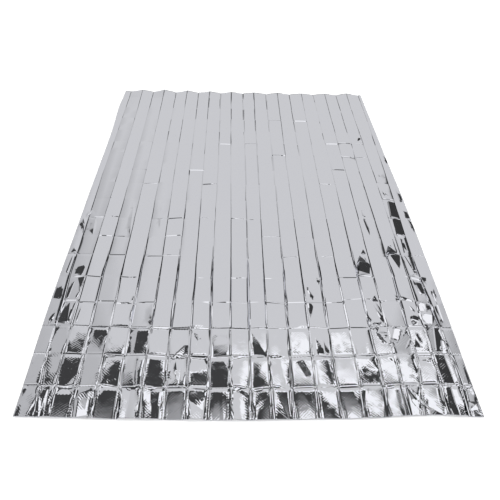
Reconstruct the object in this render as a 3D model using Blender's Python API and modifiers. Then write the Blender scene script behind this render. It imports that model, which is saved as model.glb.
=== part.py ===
"""Emergency foil blanket, opened out and lying on a flat surface.

It is one cut length of aluminised film. In its pack the film is folded across its width into a stack
of narrow panels, and the stack is folded along its length. The opened sheet keeps that grid: long
folds that stand up and lie down by turns, weaker cross folds, and crumples near the two long edges.

Places on the sheet are u, from the left cut edge, and v, from the near cut edge. Lengths are in metres
except in the tables, which are in millimetres. The origin is the middle of the footprint, on the
surface that the sheet lies on; +Y runs along the length and +Z is up.
"""

from collections import namedtuple

import bmesh
import bpy
from mathutils import Vector, noise

MM = 0.001
SHEET_WIDTH = 1.300
SHEET_LENGTH = 2.100
THICKNESS = 0.001

# How far the cross folds lie from the near edge.
CROSS_FOLDS = (105, 222, 338, 455, 574, 693, 806, 922, 1056, 1178, 1296, 1426, 1536, 1655, 1778, 1902, 2020)
CROSS_FOLD_DEPTH = 0.0008
ROW_STEPS = 2

RIDGE_HALF_WIDTH = 0.008
RIDGE_FOOT_SHARE = 0.55
TROUGH_HALF_WIDTH = 0.003
FOLD_WANDER = 0.0012
FOLD_WANDER_PITCH = 0.090
STAND_WANDER = 0.25
STAND_WANDER_PITCH = 0.200
END_LIFT_LENGTH = 0.35
CUT_SNAP = 0.0005

# How far apart the long folds and the cross folds lie in the noise that makes them uneven.
FOLD_NOISE_STEP = 9.7
STAND_NOISE_STEP = 3.1
STAND_NOISE_LEVEL = 7
CROSS_NOISE_PITCH = 0.077
CROSS_NOISE_LEVEL = 5

FILM_COLOUR = (0.80, 0.81, 0.83, 1.0)
FILM_ROUGHNESS = 0.12

# Each long fold: how far it lies from the left edge at five places along the sheet, and how high it
# stands near, in the middle and far. A fold with no height is a trough, which touches the surface.
LongFold = namedtuple("LongFold", "front near close middle far stand_near stand_middle stand_far")
LONG_FOLDS = (
    LongFold(59, 39, 25, 22, 28, 0, 0, 0),
    LongFold(93, 88, 84, 92, 95, 5, 3, 12),
    LongFold(150, 147, 139, 146, 150, 0, 0, 0),
    LongFold(211, 209, 205, 210, 213, 5, 3, 15),
    LongFold(276, 270, 270, 272, 274, 0, 0, 0),
    LongFold(340, 335, 339, 336, 338, 5, 3, 13),
    LongFold(404, 399, 400, 397, 397, 0, 0, 0),
    LongFold(469, 463, 463, 461, 460, 4, 3, 10),
    LongFold(527, 527, 521, 523, 520, 0, 0, 0),
    LongFold(588, 588, 588, 583, 579, 4, 3, 9),
    LongFold(648, 647, 648, 646, 643, 0, 0, 0),
    LongFold(707, 705, 703, 704, 702, 4, 3, 7),
    LongFold(766, 769, 775, 773, 770, 0, 0, 0),
    LongFold(835, 838, 837, 833, 832, 4, 3, 8),
    LongFold(900, 899, 903, 902, 900, 0, 0, 0),
    LongFold(963, 969, 965, 965, 965, 5, 3, 6),
    LongFold(1029, 1036, 1037, 1036, 1033, 0, 0, 0),
    LongFold(1083, 1090, 1092, 1095, 1094, 5, 3, 8),
    LongFold(1130, 1155, 1165, 1160, 1160, 0, 0, 0),
    LongFold(1199, 1207, 1215, 1217, 1215, 6, 3, 10),
    LongFold(1258, 1268, 1257, 1275, 1285, 0, 0, 0),
)
FOLD_STATIONS = (0, 160, 600, 1300, 2000)
STAND_STATIONS = (338, 480)

# The four cut edges, as how far each lies from a true 1300 by 2100 rectangle, outwards positive.
EdgePoint = namedtuple("EdgePoint", "along outwards")
LEFT_EDGE = (
    EdgePoint(0, 1),
    EdgePoint(450, 8),
    EdgePoint(1000, 5),
    EdgePoint(1600, 0),
    EdgePoint(1930, 7),
    EdgePoint(2010, 2),
    EdgePoint(2100, 0),
)
RIGHT_EDGE = (
    EdgePoint(0, -3),
    EdgePoint(550, 5),
    EdgePoint(1050, 7),
    EdgePoint(1500, 1),
    EdgePoint(2100, -3),
)
NEAR_EDGE = (
    EdgePoint(0, 0),
    EdgePoint(120, 3),
    EdgePoint(270, 8),
    EdgePoint(600, 12),
    EdgePoint(900, 7),
    EdgePoint(1170, -5),
    EdgePoint(1230, -2),
    EdgePoint(1300, 0),
)
FAR_EDGE = (
    EdgePoint(0, 4),
    EdgePoint(300, 0),
    EdgePoint(900, -2),
    EdgePoint(1300, 2),
)

# A crease where the film has crumpled into a low ridge: the two ends of its crest, the shares of the way
# along it between which it has its full height, how far its foot reaches to the left and right of the
# way from start to end, and its height.
Crumple = namedtuple("Crumple", "u v to_u to_v rise fall left right height")
CRUMPLES = (
    # The near left, where two panels have crumpled together.
    Crumple(405, 170, 455, 268, 0.7, 0.7, 22, 10, 5.5),
    Crumple(425, 205, 440, 108, 0.3, 0.3, 12, 10, 2.5),
    # The left edge: film turned up to the left, with short slits beside it.
    Crumple(60, 348, 58, 442, 0.25, 0.3, 22, 5, 3.3),
    Crumple(79, 506, 80, 572, 0.9, 0.97, 22, 5, 3.6),
    Crumple(62, 577, 66, 632, 0.12, 0.8, 21, 6, 4.0),
    Crumple(17, 460, 14, 530, 0.05, 0.7, 17, 5, 3.4),
    Crumple(19, 704, 8, 731, 0.1, 0.15, 15, 5, 3.3),
    Crumple(22, 820, 7, 912, 0.6, 0.65, 10, 5, 2.7),
    # Slits down the middle.
    Crumple(849, 380, 848, 452, 0.8, 0.95, 4, 15, 3.8),
    Crumple(864, 466, 850, 532, 0.3, 0.8, 4, 10, 2.5),
    # The right, where four panels have crumpled together.
    Crumple(1057, 316, 1052, 357, 0.9, 0.95, 4, 26, 4.6),
    Crumple(1068, 460, 1078, 485, 0.05, 0.1, 4, 18, 4.1),
    Crumple(1150, 335, 1128, 286, 0.5, 0.7, 10, 16, 3.0),
    Crumple(1128, 286, 1086, 262, 0.4, 0.8, 10, 16, 3.2),
    Crumple(1164, 250, 1174, 309, 0.05, 0.1, 4, 17, 3.3),
    Crumple(1176, 344, 1183, 402, 0.55, 0.62, 5, 22, 4.2),
    Crumple(1205, 394, 1262, 388, 0.05, 0.9, 9, 44, 4.6),
    Crumple(1214, 446, 1250, 440, 0.1, 0.9, 8, 34, 3.4),
    Crumple(1243, 490, 1229, 566, 0.05, 0.75, 5, 21, 2.8),
    # Slits and turned up cells along the right.
    Crumple(1042, 597, 1060, 700, 0.06, 0.26, 9, 38, 8.8),
    Crumple(1073, 709, 1081, 735, 0.05, 0.1, 4, 14, 3.6),
    Crumple(1173, 709, 1180, 757, 0.04, 0.08, 8, 31, 7.6),
    Crumple(1196, 620, 1169, 701, 0.85, 0.92, 8, 38, 8.6),
    Crumple(1231, 823, 1237, 931, 0.03, 0.97, 5, 27, 4.6),
    Crumple(1230, 940, 1240, 1053, 0.03, 0.97, 5, 27, 4.5),
    Crumple(1118, 942, 1117, 993, 0.05, 0.1, 4, 12, 2.6),
    Crumple(1291, 938, 1288, 997, 0.03, 0.3, 4, 13, 2.6),
    Crumple(1297, 1362, 1294, 1433, 0.3, 0.5, 3, 9, 2.6),
    Crumple(1158, 1440, 1162, 1546, 0.85, 0.95, 5, 13, 4.0),
    Crumple(1195, 1568, 1212, 1614, 0.4, 0.7, 4, 9, 2.9),
    # The near right corner and the cells beside it.
    Crumple(1262, 20, 1300, 52, 0.5, 0.5, 20, 16, 6.0),
)


def between(low, high, share):
    """The value that lies this share of the way from low to high."""
    return low + (high - low) * share


def through(stations, values, v):
    """The value at v, on straight runs through the values at the stations, which are in millimetres."""
    place = v / MM
    if place <= stations[0]:
        return values[0]
    for start, end, low, high in zip(stations, stations[1:], values, values[1:]):
        if place <= end:
            return between(low, high, (place - start) / (end - start))
    return values[-1]


def long_fold_place(index, v):
    """How far the long fold lies from the left edge at v, with its slow wander."""
    fold = LONG_FOLDS[index]
    places = (fold.front, fold.near, fold.close, fold.middle, fold.far)
    spot = Vector((FOLD_NOISE_STEP * (index + 1), v / FOLD_WANDER_PITCH, 0))
    return through(FOLD_STATIONS, places, v) * MM + FOLD_WANDER * noise.noise(spot)


def long_fold_stand(index, v):
    """How high the long fold stands at v. It rises to its far height over the last stretch only."""
    fold = LONG_FOLDS[index]
    stand = through(STAND_STATIONS, (fold.stand_near, fold.stand_middle), v)
    end_lift = max(0, 1 - (SHEET_LENGTH - v) / END_LIFT_LENGTH) ** 2
    stand = between(stand, fold.stand_far, end_lift)
    spot = Vector((STAND_NOISE_STEP * (index + 1), v / STAND_WANDER_PITCH, STAND_NOISE_LEVEL))
    return stand * MM * (1 + STAND_WANDER * noise.noise(spot))


def edge_place(points, along):
    """How far a cut edge lies outwards at a place along it."""
    for start, end in zip(points, points[1:]):
        if along <= end.along * MM:
            share = (along / MM - start.along) / (end.along - start.along)
            eased = share * share * (3 - 2 * share)
            return between(start.outwards, end.outwards, eased) * MM
    return points[-1].outwards * MM


def across_stations():
    """The lines that run along the sheet: each is the long fold it follows and its distance from it.

    The first and last follow the cut edges, which stand in the list as folds -1 and one past the last.
    """
    stations = [(-1, 0.0)]
    for index, fold in enumerate(LONG_FOLDS):
        if fold.stand_middle:
            stations += [(index, -RIDGE_HALF_WIDTH), (index, 0.0), (index, RIDGE_HALF_WIDTH)]
        else:
            stations += [(index, -TROUGH_HALF_WIDTH), (index, TROUGH_HALF_WIDTH)]
    return stations + [(len(LONG_FOLDS), 0.0)]


def along_stations():
    """The lines that run across the sheet: each is its v and the number of its cross fold, or None."""
    ends = [0.0, *(place * MM for place in CROSS_FOLDS), SHEET_LENGTH]
    stations = [(0.0, None)]
    for row, (start, end) in enumerate(zip(ends, ends[1:])):
        stations += [(between(start, end, k / ROW_STEPS), None) for k in range(1, ROW_STEPS)]
        stations.append((end, row if row < len(CROSS_FOLDS) else None))
    return stations


def station_place(station, v):
    """How far a line that runs along the sheet lies from the left edge at v."""
    index, offset = station
    if index < 0:
        return -edge_place(LEFT_EDGE, v)
    if index == len(LONG_FOLDS):
        return SHEET_WIDTH + edge_place(RIGHT_EDGE, v)
    return long_fold_place(index, v) + offset


def station_height(station, v):
    """How high the folded film stands on a line that runs along the sheet. The cut edges lie flat."""
    index, offset = station
    if index < 0 or index == len(LONG_FOLDS):
        return 0.0
    foot_share = 1.0 if offset == 0 else RIDGE_FOOT_SHARE
    return long_fold_stand(index, v) * foot_share


def folded_point(station, along):
    """The place of the film's underside where two lines meet, before its ends are bowed and it crumples."""
    v, cross_fold = along
    u = station_place(station, v)
    height = station_height(station, v)
    if cross_fold is not None:
        spot = Vector((u / CROSS_NOISE_PITCH, cross_fold, CROSS_NOISE_LEVEL))
        depth = CROSS_FOLD_DEPTH * (1 + noise.noise(spot)) / 2
        height = max(0.0, height - depth)
    return Vector((u, v, height))


def crest_ends(crumple):
    """The two ends of a crumple's crest on the flat sheet."""
    return Vector((crumple.u, crumple.v, 0)) * MM, Vector((crumple.to_u, crumple.to_v, 0)) * MM


def cut_crumple(grid, crumple):
    """Cuts a crumple's crest and foot into the film, so that its faces can bend there."""
    start, end = crest_ends(crumple)
    along = (end - start).normalized()
    across = Vector((along.y, -along.x, 0))
    length = (end - start).length
    left, right = -crumple.left * MM, crumple.right * MM
    faces = []
    for face in grid.faces:
        runs = [(vertex.co - start).dot(along) for vertex in face.verts]
        offs = [(vertex.co - start).dot(across) for vertex in face.verts]
        if max(runs) > 0 and min(runs) < length and max(offs) > left and min(offs) < right:
            faces.append(face)
    pairs = [(start, end)]
    for side in (left, right):
        low = start + along * crumple.rise * length + across * side
        high = start + along * crumple.fall * length + across * side
        pairs += [(start, low), (high, end)]
    geometry = list({item for face in faces for item in [face, *face.edges, *face.verts]})
    for low, high in pairs:
        level = Vector((high.y - low.y, low.x - high.x, 0)).normalized()
        cut = bmesh.ops.bisect_plane(grid, geom=geometry, plane_co=low, plane_no=level, dist=CUT_SNAP)
        geometry = cut["geom"]


def crumple_height(u, v):
    """How high the crumples lift the film at a place: the highest one that reaches it."""
    highest = 0.0
    for crumple in CRUMPLES:
        start, end = crest_ends(crumple)
        along = (end - start).normalized()
        away = Vector((u, v, 0)) - start
        run = away.dot(along) / (end - start).length
        off = away.dot(Vector((along.y, -along.x, 0))) / MM
        if run <= 0 or run >= 1:
            continue
        share = min(1, run / crumple.rise, (1 - run) / (1 - crumple.fall))
        share -= off / crumple.right if off > 0 else -off / crumple.left
        highest = max(highest, crumple.height * MM * share)
    return highest


def end_bow(u, v):
    """How far the bowed near and far edges carry the film along the sheet at a place."""
    return between(-edge_place(NEAR_EDGE, u), edge_place(FAR_EDGE, u), v / SHEET_LENGTH)


def film_material():
    """Bright aluminium on polyester film."""
    material = bpy.data.materials.new("aluminised_film")
    material.use_nodes = True
    shader = material.node_tree.nodes["Principled BSDF"]
    shader.inputs["Base Color"].default_value = FILM_COLOUR
    shader.inputs["Metallic"].default_value = 1.0
    shader.inputs["Roughness"].default_value = FILM_ROUGHNESS
    return material


def make_film():
    """The whole sheet: a grid moved onto the folds, crumpled, then given its thickness upwards."""
    across, along = across_stations(), along_stations()
    columns, rows = len(across) - 1, len(along) - 1
    grid = bmesh.new()
    bmesh.ops.create_grid(grid, x_segments=columns, y_segments=rows, size=1)
    for vertex in grid.verts:
        column = round((vertex.co.x + 1) / 2 * columns)
        row = round((vertex.co.y + 1) / 2 * rows)
        vertex.co = folded_point(across[column], along[row])
    for crumple in CRUMPLES:
        cut_crumple(grid, crumple)
    for vertex in grid.verts:
        u, v = vertex.co.x, vertex.co.y
        vertex.co += Vector((0, end_bow(u, v), crumple_height(u, v)))
    mesh = bpy.data.meshes.new("film_sheet")
    grid.to_mesh(mesh)
    grid.free()
    mesh.materials.append(film_material())
    film = bpy.data.objects.new("film_sheet", mesh)
    thicken = film.modifiers.new("film thickness", "SOLIDIFY")
    thicken.thickness = THICKNESS
    thicken.offset = 1
    return film


def centre_on_footprint(film):
    """Sets the middle of the sheet's footprint on the origin."""
    bpy.context.view_layer.update()
    solid = film.evaluated_get(bpy.context.evaluated_depsgraph_get())
    corners = [Vector(corner) for corner in solid.bound_box]
    for axis in (0, 1):
        low = min(corner[axis] for corner in corners)
        high = max(corner[axis] for corner in corners)
        film.location[axis] = -(low + high) / 2


def main():
    for old in list(bpy.data.objects):
        bpy.data.objects.remove(old)
    blanket = bpy.data.collections.new("emergency_foil_blanket")
    bpy.context.scene.collection.children.link(blanket)
    film = make_film()
    blanket.objects.link(film)
    centre_on_footprint(film)


main()
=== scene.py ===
"""Emergency foil blanket, opened out on a pale studio floor: the film's folds, crumples and finish.

Laid out as a Blender add-on and run as a script. Places on the sheet are written in two ways. In the
tables they are u and v, in millimetres from the left and the near cut edge. The film's grid is worked out
over panel and row numbers: panel 3.5 is the middle of the fourth panel from the left, and row 2.0 is the
third row's near cross fold.
"""

import math
from collections import namedtuple

import bmesh
import bpy
from bpy.props import FloatProperty, FloatVectorProperty, PointerProperty
from mathutils import Matrix, Vector, noise


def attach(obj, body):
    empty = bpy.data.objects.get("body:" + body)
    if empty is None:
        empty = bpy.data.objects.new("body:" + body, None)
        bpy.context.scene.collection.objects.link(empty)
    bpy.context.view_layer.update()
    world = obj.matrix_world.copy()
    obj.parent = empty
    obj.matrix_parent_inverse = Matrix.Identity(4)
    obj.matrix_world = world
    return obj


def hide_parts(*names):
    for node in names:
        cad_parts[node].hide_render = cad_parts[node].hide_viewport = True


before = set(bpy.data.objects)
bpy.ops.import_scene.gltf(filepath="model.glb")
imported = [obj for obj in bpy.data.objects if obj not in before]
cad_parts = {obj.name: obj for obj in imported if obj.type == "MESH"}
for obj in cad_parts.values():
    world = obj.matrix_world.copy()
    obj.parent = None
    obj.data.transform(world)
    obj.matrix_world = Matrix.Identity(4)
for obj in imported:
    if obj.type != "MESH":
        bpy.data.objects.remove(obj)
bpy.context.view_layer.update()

bl_info = {
    "name": "Emergency foil blanket",
    "version": (1, 0, 0),
    "blender": (4, 5, 0),
    "location": "3D View > Sidebar > Foil Blanket",
    "description": "Makes an opened emergency foil blanket on a studio floor",
    "category": "Object",
}

MM = 0.001
SHEET_WIDTH = 1300
SHEET_LENGTH = 2100
SHEET_MIDDLE = Vector((SHEET_WIDTH / 2, SHEET_LENGTH / 2, 0))
CROSS_FOLDS = (105, 222, 338, 455, 574, 693, 806, 922, 1056, 1178, 1296, 1426, 1536, 1655, 1778, 1902, 2020)
ROWS = len(CROSS_FOLDS) + 1

# Each long fold: how far it lies from the left edge at five places along the sheet, and how high it
# stands near, in the middle and far. A fold with no height is a trough, which touches the floor.
LongFold = namedtuple("LongFold", "front near close middle far stand_near stand_middle stand_far")
LONG_FOLDS = (
    LongFold(59, 39, 25, 22, 28, 0, 0, 0),
    LongFold(93, 88, 84, 92, 95, 5, 3, 12),
    LongFold(150, 147, 139, 146, 150, 0, 0, 0),
    LongFold(211, 209, 205, 210, 213, 5, 3, 15),
    LongFold(276, 270, 270, 272, 274, 0, 0, 0),
    LongFold(340, 335, 339, 336, 338, 5, 3, 13),
    LongFold(404, 399, 400, 397, 397, 0, 0, 0),
    LongFold(469, 463, 463, 461, 460, 4, 3, 10),
    LongFold(527, 527, 521, 523, 520, 0, 0, 0),
    LongFold(588, 588, 588, 583, 579, 4, 3, 9),
    LongFold(648, 647, 648, 646, 643, 0, 0, 0),
    LongFold(707, 705, 703, 704, 702, 4, 3, 7),
    LongFold(766, 769, 775, 773, 770, 0, 0, 0),
    LongFold(835, 838, 837, 833, 832, 4, 3, 8),
    LongFold(900, 899, 903, 902, 900, 0, 0, 0),
    LongFold(963, 969, 965, 965, 965, 5, 3, 6),
    LongFold(1029, 1036, 1037, 1036, 1033, 0, 0, 0),
    LongFold(1083, 1090, 1092, 1095, 1094, 5, 3, 8),
    LongFold(1130, 1155, 1165, 1160, 1160, 0, 0, 0),
    LongFold(1199, 1207, 1215, 1217, 1215, 6, 3, 10),
    LongFold(1258, 1268, 1257, 1275, 1285, 0, 0, 0),
)
FOLD_STATIONS = (0, 160, 600, 1300, 2000)
STAND_STATIONS = (0, 338, 480)
# The folds reach their far height over the last of the sheet's length.
FAR_STAND_LENGTH = 350
# How far the film lies above the floor between its folds, and the least that it stays above the floor.
LIFT = 2.5
FLOOR_GAP = 0.3

# How a smooth chance value changes: the step from one fold to the next, the distance along the sheet over
# which it changes, and a seed.
Wander = namedtuple("Wander", "step reach seed")
FOLD_WANDER = Wander(9.7, 90, 0)
STAND_WANDER = Wander(3.1, 200, 7)
STRIP_WANDER = Wander(7.7, 160, 2)
PLEAT_WANDER = Wander(5.3, 60, 3)
# How far a fold sways to either side, in millimetres, and the share by which its height and strips vary.
FOLD_SWAY = 1.2
STAND_UNEVENNESS = 0.25
STRIP_UNEVENNESS = 0.25

EdgePoint = namedtuple("EdgePoint", "along outwards")
LEFT_EDGE = (
    EdgePoint(0, 1),
    EdgePoint(450, 8),
    EdgePoint(1000, 5),
    EdgePoint(1600, 0),
    EdgePoint(1930, 7),
    EdgePoint(2010, 2),
    EdgePoint(2100, 0),
)
RIGHT_EDGE = (
    EdgePoint(0, -3),
    EdgePoint(550, 5),
    EdgePoint(1050, 7),
    EdgePoint(1500, 1),
    EdgePoint(2100, -3),
)
NEAR_EDGE = (
    EdgePoint(0, 0),
    EdgePoint(120, 3),
    EdgePoint(270, 8),
    EdgePoint(600, 12),
    EdgePoint(900, 7),
    EdgePoint(1170, -5),
    EdgePoint(1230, -2),
    EdgePoint(1300, 0),
)
FAR_EDGE = (
    EdgePoint(0, 4),
    EdgePoint(300, 0),
    EdgePoint(900, -2),
    EdgePoint(1300, 2),
)

# A crease where the film has crumpled into a low ridge: the ends of its crest, the shares of the way along
# it between which it has its full height, how far its foot reaches to the left and right of the way from
# start to end, and its height.
Crumple = namedtuple("Crumple", "u v to_u to_v rise fall left right height")
CRUMPLES = [Crumple(*row) for row in (
    # The near left, where two panels have crumpled together.
    (413, 212, 454, 267, 0.2, 0.9, 6, 14, 2.2),
    (448, 264, 461, 264, 0.05, 0.95, 3, 40, 2.3),
    (474, 318, 496, 290, 0.3, 0.8, 5, 7, 1.7),
    (208, 4, 196, 99, 0.04, 0.85, 38, 6, 5.1),
    (425, 205, 440, 108, 0.3, 0.3, 12, 10, 2.5),
    (408, 195, 400, 110, 0.3, 0.3, 8, 12, 2.2),
    (34, 0, 55, 100, 0.5, 0.5, 6, 5, 1.2),
    # The left edge: film turned up to the left, with short slits beside it.
    (62, 346, 57, 446, 0.08, 0.25, 24, 5, 3.6),
    (31, 345, 43, 450, 0.1, 0.9, 4, 3, 0.9),
    (70, 346, 77, 448, 0.1, 0.9, 4, 3, 0.9),
    (96, 350, 100, 425, 0.2, 0.8, 4, 3, 0.9),
    (45, 455, 50, 548, 0.1, 0.9, 5, 3, 1.3),
    (73, 462, 80, 504, 0.1, 0.9, 4, 3, 0.9),
    (79, 506, 80, 572, 0.9, 0.97, 22, 5, 3.6),
    (62, 577, 66, 632, 0.12, 0.8, 21, 6, 4.0),
    (17, 460, 14, 530, 0.05, 0.7, 17, 5, 3.4),
    (12, 342, 22, 402, 0.4, 0.7, 8, 4, 1.8),
    (14, 588, 16, 688, 0.1, 0.9, 5, 4, 1.1),
    (19, 704, 8, 731, 0.1, 0.15, 15, 5, 3.3),
    (24, 815, 6, 914, 0.6, 0.65, 13, 5, 3.3),
    (17, 920, 31, 984, 0.3, 0.6, 9, 4, 2.3),
    (266, 352, 267, 440, 0.3, 0.7, 7, 3, 1.8),
    (258, 452, 262, 490, 0.3, 0.7, 5, 3, 1.2),
    # Slits down the middle.
    (849, 380, 848, 452, 0.8, 0.95, 4, 15, 3.8),
    (864, 466, 850, 532, 0.3, 0.8, 4, 10, 2.5),
    (859, 228, 855, 304, 0.05, 0.3, 4, 18, 3.2),
    (884, 228, 880, 285, 0.1, 0.4, 3, 10, 1.5),
    (892, 543, 890, 583, 0.4, 0.6, 3, 7, 1.8),
    # The right, where four panels have crumpled together.
    (1042, 356, 1033, 407, 0.3, 0.5, 3, 9, 2.2),
    (1044, 322, 1034, 352, 0.3, 0.8, 3, 11, 2.1),
    (1057, 316, 1052, 357, 0.9, 0.95, 4, 26, 4.6),
    (1084, 352, 1066, 442, 0.25, 0.35, 4, 10, 2.4),
    (1084, 398, 1076, 452, 0.2, 0.8, 3, 5, 1.2),
    (1068, 460, 1078, 485, 0.05, 0.1, 4, 18, 4.1),
    (1080, 286, 1073, 303, 0.6, 0.8, 3, 12, 2.0),
    (1089, 262, 1118, 338, 0.3, 0.9, 6, 20, 3.7),
    (1077, 258, 1100, 268, 0.3, 0.8, 5, 12, 2.2),
    (1050, 330, 1075, 264, 0.3, 0.9, 5, 7, 1.2),
    (1067, 308, 1069, 334, 0.1, 0.2, 8, 20, 3.4),
    (1131, 292, 1158, 342, 0.3, 0.8, 3, 6, 0.5),
    (1131, 243, 1160, 290, 0.3, 0.8, 3, 6, 0.45),
    (1166, 248, 1172, 286, 0.05, 0.1, 4, 16, 2.9),
    (1186, 262, 1178, 312, 0.1, 0.9, 3, 7, 1.3),
    (1226, 235, 1244, 338, 0.03, 0.97, 4, 18, 1.25),
    (1243, 228, 1256, 290, 0.1, 0.8, 4, 16, 2.9),
    (1177, 344, 1183, 392, 0.5, 0.9, 4, 25, 4.4),
    (1185, 440, 1198, 400, 0.2, 0.8, 4, 5, 0.9),
    (1205, 398, 1262, 386, 0.3, 0.8, 6, 44, 3.6),
    (1212, 450, 1266, 436, 0.1, 0.6, 6, 38, 3.2),
    (1165, 478, 1206, 456, 0.08, 0.92, 4, 6, 1.7),
    (1149, 452, 1150, 477, 0.7, 0.9, 3, 15, 3.4),
    (1160, 413, 1158, 450, 0.1, 0.9, 3, 4, 1.1),
    (1280, 470, 1281, 512, 0.6, 0.9, 3, 8, 2.0),
    (1280, 358, 1282, 505, 0.1, 0.9, 3, 4, 1.1),
    (1243, 488, 1229, 566, 0.05, 0.75, 5, 24, 3.2),
    (1230, 594, 1262, 579, 0.05, 0.95, 3, 24, 2.9),
    (1262, 528, 1250, 557, 0.3, 0.8, 3, 6, 1.0),
    (1265, 550, 1266, 584, 0.6, 0.9, 3, 12, 2.1),
    # Slits and turned up cells along the right.
    (1042, 597, 1062, 700, 0.06, 0.55, 9, 39, 11.3),
    (1080, 642, 1078, 700, 0.2, 0.8, 3, 5, 1.2),
    (1073, 709, 1081, 735, 0.05, 0.1, 4, 14, 3.6),
    (1173, 709, 1180, 757, 0.04, 0.3, 8, 31, 8.8),
    (1202, 714, 1204, 800, 0.1, 0.9, 3, 5, 1.2),
    (1196, 620, 1169, 701, 0.85, 0.92, 8, 42, 9.4),
    (1244, 600, 1245, 698, 0.15, 0.2, 4, 13, 2.8),
    (1243, 604, 1228, 698, 0.1, 0.9, 3, 3, 0.7),
    (1230, 712, 1236, 806, 0.1, 0.9, 3, 4, 1.0),
    (1248, 712, 1251, 806, 0.1, 0.9, 3, 6, 1.3),
    (1231, 823, 1237, 931, 0.03, 0.97, 5, 27, 4.6),
    (1230, 940, 1240, 1053, 0.03, 0.97, 5, 27, 4.5),
    (1236, 1092, 1228, 1143, 0.3, 0.5, 3, 9, 1.9),
    (1240, 1232, 1239, 1274, 0.3, 0.6, 3, 8, 2.0),
    (1122, 820, 1116, 933, 0.4, 0.9, 3, 9, 2.0),
    (1118, 942, 1117, 993, 0.05, 0.1, 4, 12, 2.6),
    (1291, 936, 1288, 990, 0.03, 0.8, 4, 15, 3.0),
    (1294, 1030, 1292, 1162, 0.3, 0.6, 4, 11, 2.4),
    (1301, 845, 1294, 930, 0.3, 0.8, 3, 8, 1.8),
    (1297, 1362, 1294, 1433, 0.3, 0.5, 3, 9, 2.6),
    (1158, 1440, 1162, 1546, 0.85, 0.95, 5, 13, 4.0),
    (1195, 1568, 1212, 1614, 0.4, 0.7, 4, 9, 2.9),
    (1213, 1616, 1216, 1676, 0.1, 0.9, 3, 4, 1.1),
    # Soft swells on both sides of the sheet.
    (203, 790, 190, 1010, 0.3, 0.6, 14, 7, 2.6),
    (336, 342, 328, 448, 0.3, 0.7, 20, 8, 2.5),
    (62, 808, 54, 920, 0.3, 0.7, 20, 8, 2.3),
    (312, 850, 303, 1020, 0.3, 0.7, 10, 6, 1.8),
    # The near right corner and the cells beside it.
    (1262, 20, 1300, 52, 0.5, 0.5, 20, 16, 6.0),
    (1100, 100, 1130, 0, 0.5, 0.5, 8, 9, 2.0),
    (1112, 96, 1150, 20, 0.5, 0.5, 6, 10, 1.8),
    (786, 196, 810, 206, 0.15, 0.85, 5, 58, 2.2),
    (1170, 198, 1200, 206, 0.8, 0.8, 4, 14, 1.2),
)]

# How one cell of the fold grid lies: how far it leans towards the near edge and to the right, how much
# more its right side leans than its middle, in degrees, and how far its middle stands proud.
Cell = namedtuple("Cell", "near right twist crown")
FLAT = Cell(0, 0, 0, 0.2)
# The three near rows, from the left edge's panel to the right edge's.
NEAR_CELLS = (
    (Cell(-1.2, 0, 0, 0.2), Cell(-0.5, 0, 0, 0.6), Cell(0, 0, 0, 0.4), Cell(-0.7, 0, 0, 0.3),
     Cell(0, 0, 0, 0.3), Cell(-3.2, 9, 0, 0.2), Cell(-1.6, 1, 0, 0.2), Cell(1.8, 0, 0, 0.3),
     Cell(-1.5, 0.5, 0, 0.3), Cell(1.0, 0, 0, 1.0), Cell(-2.4, 0, 4.2, 0.4), Cell(-1.0, 0, 2.2, 0.3),
     Cell(-0.7, 0, 0, 0.3), Cell(1.2, 0, 0.3, 0.5), Cell(0.3, 0, -0.8, 0.3), Cell(1.2, 0, 0, 0.4),
     Cell(0.7, 0, 0, 0.3), Cell(-1.4, 0, 2.1, 0.3), Cell(-0.5, -3, 0, 0.4), Cell(-3.4, 0, 0, 0.4),
     Cell(-1.6, 0, 0, 0.2), Cell(-1.5, -2, 0, 0.2)),
    (Cell(-0.3, -0.6, 0, 0.2), Cell(0.5, 0, 0, 0.2), Cell(0.4, 0, 0, 0.2), Cell(0, -0.6, 0, 0.2),
     Cell(-0.5, 0, 1.4, 0.3), Cell(-0.3, 0, 0, 0.3), Cell(0.8, -1.6, 0, 0.2), Cell(-1.3, 0, 0, 0.3),
     Cell(-1.6, 0, 0, 0.2), Cell(0.2, 0, 0, 0.2), Cell(-1.2, 0, 2.4, 0.4), Cell(0, -1.0, 0, 0.6),
     Cell(-0.3, 0, 1.6, 0.4), Cell(-0.2, 0, 0, 0.2), Cell(1.9, 0, 2.2, 0.2), Cell(-1.0, 0, 0, 0.4),
     Cell(3.3, 0, 0, 0.2), Cell(-0.2, 0, 0, 0.3), Cell(1.6, -2.5, 0, 0.4), Cell(-1.2, 0, 0, 0.4),
     Cell(-0.7, 0, 0, 0.1), Cell(-0.5, -1, 0, 0.2)),
    (FLAT, Cell(1.0, 0, 0, 0.2), Cell(0.4, 0, 0, 0.3), Cell(3.2, 1.2, -1.0, 0.1), Cell(-0.6, 0, 0, 0.2),
     Cell(3.4, 0, 0, 0.1), Cell(-1.5, 0, 0, 0.2), Cell(-0.9, 0, 0, 0.2), Cell(-1.2, 0, 0, 0.2),
     Cell(-0.1, 0, -0.8, 0.2), Cell(-0.2, 0, 0, 0.2), Cell(0.3, -0.3, 0, 0.2), Cell(0, 0, 0, 0.2),
     Cell(1.0, 0, 0, 0.2), Cell(0.2, 0, 0, 0.2), Cell(0.9, 0, 0, 0.2), Cell(0.2, 0, 0, 0.5),
     Cell(0, 0, 0, 0.2), Cell(0.7, 0, 0, 0.2), Cell(0.9, 0, 0, 0.2), Cell(0.3, -3, 0, 0.1), FLAT),
)
# Single cells further off, by panel and row.
OTHER_CELLS = {
    (20, 3): Cell(0, -3, 0, 0.2),
    (20, 4): Cell(0, -1.5, 0, 0.2),
    (20, 5): Cell(0, -1.5, 0, 0.2),
    (19, 4): Cell(0, 3.2, 0, 1.4),
}
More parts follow.
